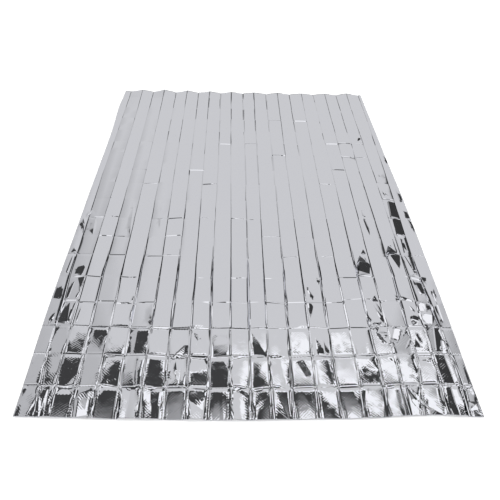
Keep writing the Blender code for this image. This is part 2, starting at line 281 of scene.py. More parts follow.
# The other cells lie by chance: how far they lean towards the near edge and, in the middle of the sheet, to
# the right, how much less for each panel away from it, in degrees, and how far their crowns rise and vary.
CHANCE_NEAR = 0.3
CHANCE_RIGHT = 1.2
CHANCE_RIGHT_FALL = 0.09
CHANCE_CROWN = 0.3
# A lean starts this share of the strips' width inside the panel's boundary and is full this much further
# in, and it fades at a cross fold over this many millimetres.
LEAN_START = 0.5
LEAN_BLEND = 0.7
LEAN_END_BLEND = 8

# A cross fold that stands out in one panel: the part of the panel that it crosses, from -1 to 1, how far
# it lies beyond its place in the grid, how much further its right end does, and how deep it is. One with
# a depth under 0 is a ridge.
Mark = namedtuple("Mark", "panel fold x to_x beyond slant depth")
MARKS = [Mark(*row) for row in (
    (1, 4, -0.6, 1, -2, 0, 0.9), (2, 4, -0.6, 1, -12, 0, 0.8), (3, 4, -0.6, 1, -2, 0, 1.2),
    (4, 4, -0.7, 0.1, -11, 0, 1.2), (5, 4, -0.3, 1, -6, 0, 0.6), (10, 4, -1, 1, 0, 2, 0.7),
    (12, 4, -1, 1, -2, -4, 0.8), (13, 4, -1, 1, 1, 0, 1.2), (14, 4, -1, 1, 0, 0, 1.1),
    (15, 4, -1, 1, 0, 0, 1.1), (16, 4, -1, 1, 14, 4, 0.9), (17, 4, -0.4, 0.4, 12, 0, 0.8),
    (18, 4, -0.9, -0.3, -1, 0, 0.8), (19, 4, -1, 1, 4, -2, 0.8), (20, 4, -1, 1, -2, 0, 0.6),
    (1, 5, -0.4, 1, -2, 0, 0.9), (2, 5, -1, 0.9, 0, -2, 1.2), (4, 5, -1, 0.3, 0, 0, 1.1),
    (6, 5, -0.3, 1, 0, 0, 0.4), (10, 5, -0.9, 0, 3, 0, 1.3), (16, 5, -0.6, 1, 5, 0, 1.3),
    (17, 5, -1, 1, 12, -12, 1.2), (19, 5, 0.1, 0.9, 6, 0, 0.6), (20, 5, -1, 1, 10, 0, 0.5),
    (0, 6, -1, 1, 4, 0, 1.0), (1, 6, -0.8, 1, 1, -2, 0.8), (3, 6, -0.7, 1, 1, 0, 1.2),
    (5, 6, -0.6, 1, -3, 0, 0.6), (6, 6, -1, 1, 3, 3, 0.7), (7, 6, -0.8, 0.4, 0, 0, 0.5),
    (13, 6, -0.9, 0.6, 0, 0, 0.6), (15, 6, -0.6, 0.8, 3, 0, 0.7), (19, 6, -0.9, 1, 12, 0, 1.1),
    (21, 6, -0.6, 0.6, 8, 0, 1.0),
    (2, 7, -1, 1, -1, 0, 1.3), (3, 7, -0.6, 0.4, -4, 0, 0.6), (6, 7, -1, 1, 8, 9, 1.3),
    (12, 7, -0.6, 1, 9, 2, 0.8), (20, 7, -0.8, 1, 16, 0, 0.9),
    (1, 8, -0.6, 1, 0, 0, 1.0), (2, 8, -0.2, 1, 8, 1, 1.1), (4, 8, -0.6, 0.6, 0, 0, 0.6),
    (6, 8, -1, 1, 4, 9, 1.3), (8, 8, -0.6, 0.6, 8, 0, 0.7), (10, 8, -0.8, 0.6, 8, 0, 1.0),
    (11, 8, -0.6, 0.6, 2, 0, 0.6), (13, 8, -1, 1, 4, 0, 0.6), (14, 8, -0.9, 0.6, 12, 2, 0.5),
    (20, 8, -0.8, 1, 12, 0, 0.9), (21, 8, 0, 1, 6, 0, 1.1),
    (2, 9, -1, -0.6, 2, 0, 0.9), (20, 9, -1, 1, 15, -3, 1.3),
    (4, 10, -0.3, 1, -4, 4, 1.2), (8, 10, -1, 1, 0, 8, 1.3), (16, 10, -1, 1, 6, 0, 0.9),
    (20, 10, -0.2, 0.9, 17, 0, 0.8),
    (3, 11, 0, 0.6, -12, 0, 1.2), (7, 11, -1, 1, -6, -3, -1.75), (17, 11, -1, 1, 8, -6, 1.2),
    (13, 12, -1, 1, 4, -4, -1.95), (18, 12, -1, 1, -10, -8, 1.0), (19, 12, -1, 0.8, -14, 0, -1.7),
    (9, 13, -1, 1, -8, -6, -1.95), (11, 13, -0.8, 0.8, -2, -2, -1.1), (17, 13, -1, 1, 6, -6, -1.75),
    (18, 13, -1, 1, 14, 0, 1.0), (19, 13, -1, 1, 10, -16, 0.6),
    (13, 15, -0.9, 0.9, 0, -3, -1.1), (15, 15, -1, 1, 0, -6, -1.75),
)]
MARK_AT = {(mark.panel, mark.fold): mark for mark in MARKS}

# The depth of the other cross folds, how far it varies, and a seed.
FoldDepth = namedtuple("FoldDepth", "usual spread seed")
NEAR_FOLD_DEPTH = FoldDepth(0.7, 0.35, 5.5)
FAR_FOLD_DEPTH = FoldDepth(0.12, 0.10, 9.5)
FOLD_END_DEPTH = 0.1
# In the middle of a panel a cross fold lies up to this far from its place in the grid.
FOLD_JOG = 2
JOG_SEED = 0.5
LEAN_SEED = 20.5
# How soon a cross fold and a mark reach their own place and depth from the panel's sides, in shares of half
# the panel.
FOLD_JOG_BLEND = 0.25
MARK_JOG_BLEND = 0.12
FOLD_DEPTH_BLEND = 0.15
MARK_DEPTH_BLEND = 0.1
# How wide a cross fold's near flank is, in the near rows and beyond them, and how wide its far flank is.
NEAR_ROWS_FLANK = 10
NEAR_FLANK = 6
FAR_FLANK = 3

# A crease across one cell: its ends, from -1 to 1 across and along the cell, and how many degrees the film
# on the right of the way from start to end is bent up from it.
Crease = namedtuple("Crease", "panel row x y to_x to_y bend")
CREASES = [Crease(*row) for row in (
    (1, 0, -0.3, -1, 0.1, 1, 9),
    (1, 0, 0.4, -1, 0.3, 1, -9),
    (2, 0, 0.9, 0.45, -0.9, 0.45, -3.2),
    (2, 0, -0.1, 1, -0.8, 0.4, 3),
    (2, 0, 0.8, 0.4, 0.1, 1, 3),
    (3, 0, 0.8, 0.3, 0.3, 1, 4),
    (3, 0, 0.45, -1, 0.3, 0.9, 2),
    (4, 0, -0.2, 1, -0.9, -0.1, -6),
    (5, 0, -0.15, -1, 0, 1, 9),
    (6, 0, 0.15, -1, -0.25, 1, 4),
    (7, 0, 0.9, 0.6, 0.1, 1, -2),
    (8, 0, -0.9, 0.5, 0.6, 0.9, 3),
    (8, 0, 0.9, 0.1, -0.9, 0.4, 3),
    (8, 0, 0.9, -0.6, -0.6, 0.1, 3),
    (9, 0, 0.15, -1, 0, 1, 4),
    (9, 0, 0.45, -1, 0.25, 1, -6),
    (10, 0, 0.9, 0.35, -0.2, 0.8, 3),
    (12, 0, 0.5, -1, -0.6, 0.8, 4),
    (13, 0, 0.8, -1, -0.3, 1, -2),
    (15, 0, 0.9, -0.6, 0.1, 1, -2.5),
    (16, 0, -0.2, 1, -0.7, 0.1, 4.5),
    (17, 0, 0.35, -1, 0.1, 1, 2),
    (19, 0, -0.75, -0.2, -0.25, 0.9, -6),
    (19, 0, 0.6, -0.95, -0.7, -0.4, 2.5),
    (20, 0, 0, -1, -0.05, 1, 11),
    (21, 0, -0.8, -0.3, 0.9, -0.2, -3),
    (2, 1, -0.8, -0.7, -0.3, -1, 5),
    (2, 1, -0.1, -1, 0.8, -0.2, 5),
    (4, 1, 0.9, 0.5, -0.6, 0.9, -1),
    (5, 1, 0.25, -1, 0.1, 1, 9),
    (5, 1, 0.45, -1, 0.35, 1, -9),
    (8, 1, -1, -0.1, 0.9, 0.15, -3),
    (8, 1, 1, 0.2, 0.3, 1, 7),
    (9, 1, 0.9, 0.2, 0.1, 1, -3),
    (12, 1, -0.1, -1, -0.35, 1, -3),
    (12, 1, 0.6, -1, -0.1, 1, 3),
    (16, 1, 0.2, 0.7, -0.9, -0.1, -3.5),
    (16, 1, 0.9, 0, 0.2, 0.7, -3.5),
    (17, 1, 0.9, 0.3, 0.2, 0.8, 3.5),
    (18, 1, -0.7, -1, 0.4, 0.9, -1.5),
    (18, 1, 0.9, -0.9, 0.4, 0.9, -1.5),
    (20, 1, 0.38, -1, 0.28, 1, 11),
    (1, 2, -0.2, 0.95, -0.9, 0.4, -4),
    (3, 2, 0.5, -1, 0.9, -0.5, -3),
    (5, 2, -0.2, 1, -0.3, -1, -4),
    (9, 2, 0.3, -1, 0.9, -0.3, -2),
    (11, 2, -1, 1, 0.7, -0.8, -2.4),
    (12, 2, -0.2, -1, 0.1, 1, -2),
    (16, 2, 0.2, -1, 0.1, 1, 4),
    (16, 2, 0.45, -1, 0.4, 1, -4),
    (20, 3, -0.6, 0, 0.9, 0.8, 10),
    (20, 3, -0.57, -0.06, 0.93, 0.74, -10),
)]
CREASES_AT = {}
for crease in CREASES:
    CREASES_AT.setdefault((crease.panel, crease.row), []).append(crease)

# The grid's lines in one panel lie at shares of it. The first and last five make the narrow strips along
# its folds, where they lie closer together, at STRIP_NODES shares of a strip's width from the fold.
STRIP_SHARES = (0, 0.05, 0.1, 0.15, 0.2)
STRIP_NODES = (0, 0.22, 0.44, 0.7, 1)
STRIP_STATIONS = (0, 105, 338, 900, 2100)
STRIP_WIDTHS = (11.5, 8, 5.5, 3.5, 2.5)
EDGE_STRIP_WIDTH = 3
# Beyond the near rows, how much wider than that the strips along the troughs and along the ridges are.
STRIP_SPREAD_STATIONS = (338, 400, 560, 700, 1000, 2100)
TROUGH_SPREAD = (1, 1.5, 1.45, 1.3, 1.5, 1.4)
RIDGE_SPREAD = (1, 0.95, 0.9, 0.65, 1, 1)
# How high the film stands at a strip's nodes, in shares of the strip's width, for the folds of the near
# rows and of those beyond them.
NEAR_PLEATS = (
    (0.06, -0.02, 0.08, 0.0, 0.0),
    (0.0, 0.06, -0.01, 0.03, 0.0),
    (0.05, 0.01, 0.09, 0.01, 0.0),
)
BAND = (0.06, 0.06, 0.055, 0.04, 0.0)
# The same right on a fold of the near rows, and how much the near pleats vary.
AT_NEAR_FOLD = 0.03
NEAR_PLEAT_UNEVENNESS = 0.9
# Where along the sheet each form of a long fold starts to show, and where it is full.
NEAR_PLEATS_START = (380, 300)
PLEAT_START = (310, 360)
PLEAT_END = (800, 620)
CREST_START = (560, 760)
BAND_START = (600, 750)
BAND_END = (1050, 650)
FAR_CREASE_START = (950, 1200)
# How much of a fold's height the panels beside it rise to, how much more its crest rises, and over what
# distance.
PANEL_SHARE = 0.7
CREST_SHARE = 0.3
CREST_REACH = 8
# How high the sharp crease along a long fold is, and how far it reaches to either side.
CREASE_STATIONS = (0, 338, 700, 1300, 2100)
CREASE_HEIGHTS = (0.0, 0.2, 0.9, 0.8, 0.7)
CREASE_REACH = 1.5
# The pleats along the long folds of the close rows: how far their shallow part leans, in degrees, how much
# less for each millimetre away from the middle of the sheet, and how much steeper the steep part is.
PLEAT_LEAN = 24.5
PLEAT_LEAN_FALL = 0.0186
PLEAT_STEEPER = 11
# Where the steep part ends and where the shallow part does, in shares of the strip's width.
PLEAT_BEND = 0.44
PLEAT_FOOT = 0.7
# The share by which the slopes vary, the patches over which they do, and a seed.
PLEAT_UNEVENNESS = 0.12
PLEAT_PATCH_WIDTH = 60
PLEAT_PATCH_LENGTH = 45
PLEAT_PATCH_SEED = 11
# The sharp creases at the far long folds: how far they reach to either side, how steep they are in the
# middle of the sheet, in degrees, and how much less for each millimetre away from it.
FAR_CREASE_REACH = 2.4
FAR_CREASE_LEAN = 31
FAR_CREASE_LEAN_FALL = 0.02
# The grid's first lines in a panel, before the close rows are divided further.
PANEL_LINES = (0, 0.05, 0.2, 0.5, 0.8, 0.95)
# The rows counted as near and as close, and each kind of row's own lines, from its near cross fold on.
NEAR_ROWS = 3
CLOSE_ROWS = 8
NEAR_ROW_LINES = (0, 0.02, 0.045, 0.08, 0.14, 0.22, 0.30, 0.38,
                  0.46, 0.54, 0.62, 0.70, 0.78, 0.85, 0.90, 0.95)
CLOSE_ROW_LINES = (0, 0.025, 0.06, 0.14, 0.36, 0.64, 0.88, 0.95)
FAR_ROW_LINES = (0, 0.025, 0.06, 0.5, 0.95)
# The lengths of the grid's edges across a panel, in shares of it, that are divided again in the close rows.
PANEL_FLANK = 0.15
HALF_PANEL = 0.3
# Folds sharper than this, in degrees, are shaded as sharp.
SHARP_FOLD_ANGLE = 15
# Below this share of its length a crumple's crest comes to a point. Then how far beyond a crumple's ends
# and feet the film's faces are cut.
SHORTEST_CREST = 0.02
CUT_BEYOND_ENDS = 6
CUT_BEYOND_FEET = 4
# A cut runs through a corner that is this near, and two places this near are the same.
CUT_SNAP = 0.02
SAME_PLACE = 0.001

# The film's own texture, in millimetres: soft ripples, and near the near edge a diagonal hatch, in patches.
# The real hatch is too fine to show, so it is drawn as coarse as this. It fades between two places along
# the sheet.
RIPPLE_SIZE = 18.182
RIPPLE_RISE = 0.06
PATCH_SIZE = 26.316
HATCH_SPACING = 6.534
HATCH_RISE = 0.036
HATCH_FADE_START = 330
HATCH_FADE_END = 370
# Between which values of the patches' own noise the hatch comes in, and how uneven its lines are.
HATCH_PATCH_START = 0.45
HATCH_PATCH_FULL = 0.6
PATCH_SEED = 3.0
HATCH_DISTORTION = 2.5
HATCH_DISTORTION_SCALE = 1.5
# The wave texture's diagonal bands are this far apart at a scale of 1, in metres.
BAND_SPACING = 2 * math.pi / (10 * math.sqrt(2))

# The floor reaches this far to every side, in metres.
FLOOR_REACH = 8
FLOOR_ROUGHNESS = 0.9
# The camera stands at the near end and looks down along the sheet: its lens and sensor in millimetres, its
# place in metres, and its tilt from straight down, its turn and its roll in degrees.
CAMERA_LENS = 42.2388
CAMERA_SENSOR = 36.0
CAMERA_PLACE = (-0.0606, -2.0116, 1.3758)
CAMERA_TILT = 50.916
CAMERA_TURN = -2.299
CAMERA_ROLL = 1.993

# The studio that the film mirrors is worked out step by step from a ray's direction. A shade goes softly
# from one value to another while a named value goes from start to end, and a join puts two together.
# X, Y and Z are the ray's direction. Elevation is its angle above the floor, quarter its angle to the right
# of the nearest wall's middle, and off_centre the same to either side, in degrees. The rest are shares of
# full brightness.
Shade = namedtuple("Shade", "name of start end low high")
Join = namedtuple("Join", "name operation first second")
STUDIO = (
    Join("elevation", "ARCSINE", "Z", 0.0),
    Join("elevation", "DEGREES", "elevation", 0.0),
    Join("azimuth", "ARCTAN2", "X", "Y"),
    Join("azimuth", "DEGREES", "azimuth", 0.0),
    Join("quarter", "ADD", "azimuth", 45.0),
    Join("quarter", "FLOORED_MODULO", "quarter", 90.0),
    Join("quarter", "SUBTRACT", "quarter", 45.0),
    Join("off_centre", "ABSOLUTE", "quarter", 0.0),
    # The walls fade towards both sides, and each has a dark gap on either side of its middle.
    Shade("wall_left", "quarter", -27.0, -12.0, 0.50, 0.64),
    Shade("wall_right", "quarter", 24.0, 32.0, 0.64, 0.42),
    Join("wall", "MINIMUM", "wall_left", "wall_right"),
    Shade("gap_start", "off_centre", 26.5, 30.5, 0.0, 1.0),
    Shade("gap_end", "off_centre", 40.0, 42.0, 1.0, 0.0),
    Join("gap", "MULTIPLY", "gap_start", "gap_end"),
    Shade("below_beam", "elevation", 39.0, 40.5, 1.0, 0.0),
    Shade("beyond_beam", "off_centre", 33.0, 34.5, 0.0, 1.0),
    Join("beside_beam", "MAXIMUM", "below_beam", "beyond_beam"),
    Join("gap", "MULTIPLY", "gap", "beside_beam"),
    Shade("gap", "gap", 0.0, 1.0, 1.0, 0.10),
    Join("wall", "MULTIPLY", "wall", "gap"),
    Shade("skirting", "elevation", 12.0, 18.0, 0.12, 1.0),
    Join("wall", "MULTIPLY", "wall", "skirting"),
    # A lamp stands in each corner.
    Shade("corner", "off_centre", 41.8, 42.6, 0.0, 0.97),
    Shade("corner_foot", "elevation", 6.0, 10.0, 0.0, 1.0),
    Join("corner", "MULTIPLY", "corner", "corner_foot"),
    Join("wall", "MAXIMUM", "wall", "corner"),
    # The ceiling is dark, with strip lamps along its edge, a glow behind them and a lamp in the middle.
    Shade("low_lamp", "elevation", 51.5, 52.2, 0.97, 0.0),
    Shade("low_lamp_side", "quarter", -5.0, -3.5, 0.0, 1.0),
    Join("low_lamp", "MULTIPLY", "low_lamp_side", "low_lamp"),
    Shade("high_lamp", "elevation", 57.5, 58.2, 0.0, 1.0),
    Shade("high_lamp_top", "elevation", 67.0, 68.0, 1.0, 0.0),
    Join("high_lamp", "MULTIPLY", "high_lamp", "high_lamp_top"),
    Shade("high_lamp_side", "quarter", -8.0, -6.0, 0.0, 0.97),
    Join("high_lamp", "MULTIPLY", "high_lamp_side", "high_lamp"),
    Shade("ring_lamp", "elevation", 60.5, 61.2, 0.0, 0.9),
    Shade("ring_lamp_top", "elevation", 66.0, 67.0, 1.0, 0.0),
    Join("ring_lamp", "MULTIPLY", "ring_lamp", "ring_lamp_top"),
    Shade("middle_lamp", "elevation", 80.0, 81.0, 0.0, 0.97),
    Shade("left_panel", "quarter", -28.0, -25.0, 0.47, 0.0),
    Shade("glow", "elevation", 53.5, 58.0, 0.05, 0.35),
    Shade("glow_top", "elevation", 67.0, 68.0, 1.0, 0.15),
    Join("glow", "MULTIPLY", "glow", "glow_top"),
    Join("ceiling", "MAXIMUM", "low_lamp", "high_lamp"),
    Join("ceiling", "MAXIMUM", "ceiling", "ring_lamp"),
    Join("ceiling", "MAXIMUM", "ceiling", "middle_lamp"),
    Join("ceiling", "MAXIMUM", "ceiling", "left_panel"),
    Join("ceiling", "MAXIMUM", "ceiling", "glow"),
    Join("ceiling", "MAXIMUM", "ceiling", 0.045),
    Shade("overhead", "elevation", 48.3, 49.0, 0.0, 1.0),
)


def between(low, high, share):
    """The value that lies this share of the way from low to high."""
    return low + (high - low) * share


def eased(share):
    """A share from 0 to 1 that starts and ends softly."""
    share = min(1, max(0, share))
    return share * share * (3 - 2 * share)


def grown(place, start, full):
    """A share that grows softly from 0 at the start to 1 where it is full."""
    return eased((place - start) / (full - start))


def through(stations, values, place):
    """The value at a place, on straight runs through the stations' values."""
    for start, end, low, high in zip(stations, stations[1:], values, values[1:]):
        if place <= end:
            return between(low, high, max(0, place - start) / (end - start))
    return values[-1]


def edge_place(points, along):
    """How far a cut edge lies outwards at a place along it, in millimetres."""
    for start, end in zip(points, points[1:]):
        if along <= end.along:
            return between(start.outwards, end.outwards, grown(along, start.along, end.along))
    return points[-1].outwards


def sway(wander, number, v, side=0):
    """A smooth chance value, from -1 to 1, for one fold at a place along the sheet."""
    return noise.noise(Vector((wander.step * number + side, v / wander.reach, wander.seed)))


def chance(panel, row, seed):
    """A chance value, from -1 to 1, for one cell of the fold grid."""
    return noise.cell(Vector((panel, row, seed)))


def boundary_place(number, v):
    """How far a panel's boundary lies from the left at v: number 0 is the left edge, 1 the first fold."""
    if number == 0:
        return -edge_place(LEFT_EDGE, v)
    if number == len(LONG_FOLDS) + 1:
        return SHEET_WIDTH + edge_place(RIGHT_EDGE, v)
    places = LONG_FOLDS[number - 1][: len(FOLD_STATIONS)]
    return through(FOLD_STATIONS, places, v) + FOLD_SWAY * sway(FOLD_WANDER, number, v)


def boundary_stand(number, v):
    """How high the film stands at a panel's boundary, in millimetres."""
    if number in (0, len(LONG_FOLDS) + 1):
        return 0
    fold = LONG_FOLDS[number - 1]
    far_share = max(0, 1 - (SHEET_LENGTH - v) / FAR_STAND_LENGTH) ** 2
    stand = through(STAND_STATIONS, (fold.stand_near, fold.stand_near, fold.stand_middle), v)
    stand = between(stand, fold.stand_far, far_share)
    return stand * (1 + STAND_UNEVENNESS * sway(STAND_WANDER, number, v))


def cross_fold_place(number, panel, x):
    """Where a cross fold lies along the sheet, x running from -1 to 1 across its panel."""
    if number <= 0:
        return 0
    if number >= ROWS:
        return SHEET_LENGTH
    place = CROSS_FOLDS[number - 1]
    mark = MARK_AT.get((panel, number))
    if mark:
        return place + eased((1 - abs(x)) / MARK_JOG_BLEND) * (mark.beyond + mark.slant * x)
    return place + eased((1 - abs(x)) / FOLD_JOG_BLEND) * FOLD_JOG * chance(panel, number, JOG_SEED)


def cross_fold_depth(number, panel, x):
    """How deep a cross fold lies in the film."""
    mark = MARK_AT.get((panel, number))
    if mark:
        inside = min(x - mark.x, mark.to_x - x)
        return between(FOLD_END_DEPTH, mark.depth, eased(inside / MARK_DEPTH_BLEND + 0.5))
    depth = NEAR_FOLD_DEPTH if number <= NEAR_ROWS else FAR_FOLD_DEPTH
    own = depth.usual + depth.spread * chance(panel, number, depth.seed)
    return between(FOLD_END_DEPTH, own, eased((1 - abs(x)) / FOLD_DEPTH_BLEND))


def cell_at(panel, row):
    """How a cell of the fold grid lies."""
    if row < NEAR_ROWS:
        return NEAR_CELLS[row][panel]
    if (panel, row) in OTHER_CELLS:
        return OTHER_CELLS[panel, row]
    near, right, crown = (chance(panel, row, LEAN_SEED + k) for k in range(3))
    spread = CHANCE_RIGHT - CHANCE_RIGHT_FALL * abs(panel - len(LONG_FOLDS) / 2)
    return Cell(CHANCE_NEAR * near, spread * right, 0, CHANCE_CROWN * (1 + crown))


def slope(degrees):
    """The rise in a run of one at an angle."""
    return math.tan(math.radians(degrees))


def strip_width(number, v):
    """How wide the strip on either side of a panel's boundary is."""
    if number in (0, len(LONG_FOLDS) + 1):
        return EDGE_STRIP_WIDTH
    spread = through(STRIP_SPREAD_STATIONS, TROUGH_SPREAD if number % 2 else RIDGE_SPREAD, v)
    width = spread * through(STRIP_STATIONS, STRIP_WIDTHS, v)
    return width * (1 + STRIP_UNEVENNESS * sway(STRIP_WANDER, number, v))


def film_cell(panel_number, row_number):
    """The cell that a panel and row number lie in, and how far its two cross folds lie along the sheet."""
    panel = min(len(LONG_FOLDS), int(panel_number))
    row = min(ROWS - 1, int(row_number))
    x = 2 * (panel_number - panel) - 1
    return panel, row, cross_fold_place(row, panel, x), cross_fold_place(row + 1, panel, x)


def film_place(panel_number, row_number):
    """The place on the flat sheet, in millimetres, at a panel and row number."""
    panel, row, near, far = film_cell(panel_number, row_number)
    across = panel_number - panel
    v = between(near, far, row_number - row)
    left, right = boundary_place(panel, v), boundary_place(panel + 1, v)
    left_strip, right_strip = strip_width(panel, v), strip_width(panel + 1, v)
    if across < STRIP_SHARES[-1]:
        u = left + left_strip * through(STRIP_SHARES, STRIP_NODES, across)
    elif across > 1 - STRIP_SHARES[-1]:
        u = right - right_strip * through(STRIP_SHARES, STRIP_NODES, 1 - across)
    else:
        share = (across - STRIP_SHARES[-1]) / (1 - 2 * STRIP_SHARES[-1])
        u = between(left + left_strip, right - right_strip, share)
    return Vector((u, v, 0))


def fold_height(panel, u, v, left, right):
    """The height of the film at a place, from the long folds on either side of it."""
    stand_left, stand_right = boundary_stand(panel, v), boundary_stand(panel + 1, v)
    if panel % 2:
        stand_left = 0
    else:
        stand_right = 0
    height = LIFT + PANEL_SHARE * between(stand_left, stand_right, (u - left) / (right - left))
    if panel > 0:
        height += fold_edge_height(panel, 1, stand_left, u - left, u, v)
    if panel < len(LONG_FOLDS):
        height += fold_edge_height(panel + 1, -1, stand_right, right - u, u, v)
    return height


def fold_edge_height(number, side, stand, distance, u, v):
    """The height that a long fold adds at a distance to its right, side 1, or its left, side -1."""
    sign = 1 if stand else -1
    distant = grown(v, *FAR_CREASE_START)
    reach = between(CREASE_REACH, FAR_CREASE_REACH, distant)
    far_lean = FAR_CREASE_LEAN - FAR_CREASE_LEAN_FALL * abs(u - SHEET_WIDTH / 2)
    sharp = through(CREASE_STATIONS, CREASE_HEIGHTS, v)
    sharp = between(sharp, FAR_CREASE_REACH * slope(far_lean), distant)
    crest = CREST_SHARE * stand - sharp if stand else sharp - LIFT
    pleat = grown(v, *PLEAT_START) * grown(v, *PLEAT_END)
    height = grown(v, *CREST_START) * crest * math.exp(-distance / CREST_REACH)
    height += (1 - pleat) * sign * sharp * tent(distance, reach)
    width = strip_width(number, v)
    share = distance / width
    if share >= 1:
        return height
    if distance == 0:
        side = 0
        near_pleat = AT_NEAR_FOLD
    else:
        near_pleat = through(STRIP_NODES, NEAR_PLEATS[(3 * number + side) % len(NEAR_PLEATS)], share)
    amount = 1 + NEAR_PLEAT_UNEVENNESS * sway(PLEAT_WANDER, number, v, side)
    height += grown(v, *NEAR_PLEATS_START) * amount * width * near_pleat
    band = grown(v, *BAND_START) * grown(v, *BAND_END)
    height += sign * band * width * through(STRIP_NODES, BAND, share)
    outwards = side * (u - SHEET_WIDTH / 2) * sign >= 0
    return height + sign * pleat * width * pleat_share(share, outwards, u, v)


def pleat_share(share, outwards, u, v):
    """The height of the narrow pleat along a long fold, as a share of its strip's width.

    The side that faces the nearer long edge has a steep part and then a shallow one; the film falls away
    steeply on the other side and comes back up to its panel.
    """
    shallow = PLEAT_LEAN - PLEAT_LEAN_FALL * abs(u - SHEET_WIDTH / 2)
    patch = Vector((u / PLEAT_PATCH_WIDTH, v / PLEAT_PATCH_LENGTH, PLEAT_PATCH_SEED))
    unevenness = 1 + PLEAT_UNEVENNESS * noise.noise(patch)
    foot, flank = slope(shallow * unevenness), slope((shallow + PLEAT_STEEPER) * unevenness)
    step = (PLEAT_FOOT - PLEAT_BEND) * foot
    top = PLEAT_BEND * flank + step
    if outwards:
        return through((0, PLEAT_BEND, PLEAT_FOOT), (top, step, 0), share)
    return through((0, PLEAT_BEND, PLEAT_FOOT), (top, -step, 0), share)


def tent(place, half_width):
    """A straight-sided ridge of height 1 over a place, with its feet half_width to either side."""
    return max(0, 1 - abs(place) / half_width)


def lean_height(cell, creases, row, u, v, left, right, near, far):
    """The height that a cell's lean, twist, crown and creases add."""
    width, length = right - left, far - near
    x, y = 2 * (u - left) / width - 1, 2 * (v - near) / length - 1
    reach = through(STRIP_STATIONS, STRIP_WIDTHS, (near + far) / 2)
    inside = eased((min(u - left, right - u) - LEAN_START * reach) / (LEAN_BLEND * reach))
    inside *= eased((far - v) / LEAN_END_BLEND) if row < ROWS - 1 else 1
    inside *= eased((v - near) / LEAN_END_BLEND) if row > 0 else 1
    tilt = slope(cell.near + cell.twist * x) * y * length / 2 - slope(cell.right) * x * width / 2
    for crease in creases:
        run = Vector((crease.to_x - crease.x, crease.to_y - crease.y))
        run.x, run.y = run.x * width, run.y * length
        away = Vector(((x - crease.x) * width, (y - crease.y) * length))
        tilt += slope(crease.bend) * max(0, (away.x * run.y - away.y * run.x) / run.length / 2)
    return inside * (tilt + cell.crown * (1 - x * x) * (1 - y * y))


def crumple_height(u, v):
    """The height of the highest crumple over a place."""
    highest = 0
    for crumple in CRUMPLES:
        if not crumple_low(crumple) <= v <= crumple_high(crumple):
            continue
        run_u, run_v = crumple.to_u - crumple.u, crumple.to_v - crumple.v
        length = math.hypot(run_u, run_v)
        du, dv = u - crumple.u, v - crumple.v
        run = (du * run_u + dv * run_v) / length / length
        off = (du * run_v - dv * run_u) / length
        if run <= 0 or run >= 1:
            continue
        share = min(1, run / crumple.rise, (1 - run) / (1 - crumple.fall))
        share -= off / crumple.right if off > 0 else -off / crumple.left
        highest = max(highest, crumple.height * share)
    return highest


def crumple_low(crumple):
    """How near a crumple reaches."""
    return min(crumple.v, crumple.to_v) - max(crumple.left, crumple.right)


def crumple_high(crumple):
    """How far along the sheet a crumple reaches."""
    return max(crumple.v, crumple.to_v) + max(crumple.left, crumple.right)


def film_point(panel_number, row_number, u, v):
    """The place of the film's underside in the frame's metres, from its numbers and its flat place."""
    panel, row, near, far = film_cell(panel_number, row_number)
    left, right = boundary_place(panel, v), boundary_place(panel + 1, v)
    x = 2 * (panel_number - panel) - 1
    height = fold_height(panel, u, v, left, right)
    creases = CREASES_AT.get((panel, row), ())
    height += lean_height(cell_at(panel, row), creases, row, u, v, left, right, near, far)
    if row > 0:
        height -= cross_fold_depth(row, panel, x) * tent(v - near, FAR_FLANK)
    if row < ROWS - 1:
        flank = NEAR_ROWS_FLANK if row < NEAR_ROWS else NEAR_FLANK
        height -= cross_fold_depth(row + 1, panel, x) * tent(far - v, flank)
    height += crumple_height(u, v)
    bow = between(-edge_place(NEAR_EDGE, u), edge_place(FAR_EDGE, u), v / SHEET_LENGTH)
    return (Vector((u, v + bow, max(FLOOR_GAP, height))) - SHEET_MIDDLE) * MM


def lines(counts):
    """All the grid lines, from each whole panel's or row's own lines, and the last boundary."""
    return [number + share for number, shares in enumerate(counts) for share in shares] + [len(counts)]


def divide_across(grid, rows, length, cuts, inner=False):
    """Divides the edges of one length that run across the grid's first rows."""
    edges = []
    for edge in grid.edges:
        start, end = (vertex.co for vertex in edge.verts)
        across = (start.x + end.x) / 2 % 1
        if inner and not PANEL_LINES[2] < across < PANEL_LINES[4]:
            continue
        level = abs(start.y - end.y) < SAME_PLACE and start.y < rows + SAME_PLACE
        if level and abs(abs(start.x - end.x) - length) < SAME_PLACE:
            edges.append(edge)
    bmesh.ops.subdivide_edges(grid, edges=edges, cuts=cuts)


def cut_lines(grid, faces, pairs):
    """Cuts faces of the film along the line through each pair of places, and leaves the cuts sharp."""
    geometry = list(dict.fromkeys(item for face in faces for item in [face, *face.edges, *face.verts]))
    for start, end in pairs:
        across = Vector((end.y - start.y, start.x - end.x, 0))
        cut = bmesh.ops.bisect_plane(grid, geom=geometry, plane_co=start, plane_no=across, dist=CUT_SNAP)
        geometry = cut["geom"]
        for item in cut["geom_cut"]:
            if isinstance(item, bmesh.types.BMEdge):
                item.smooth = False


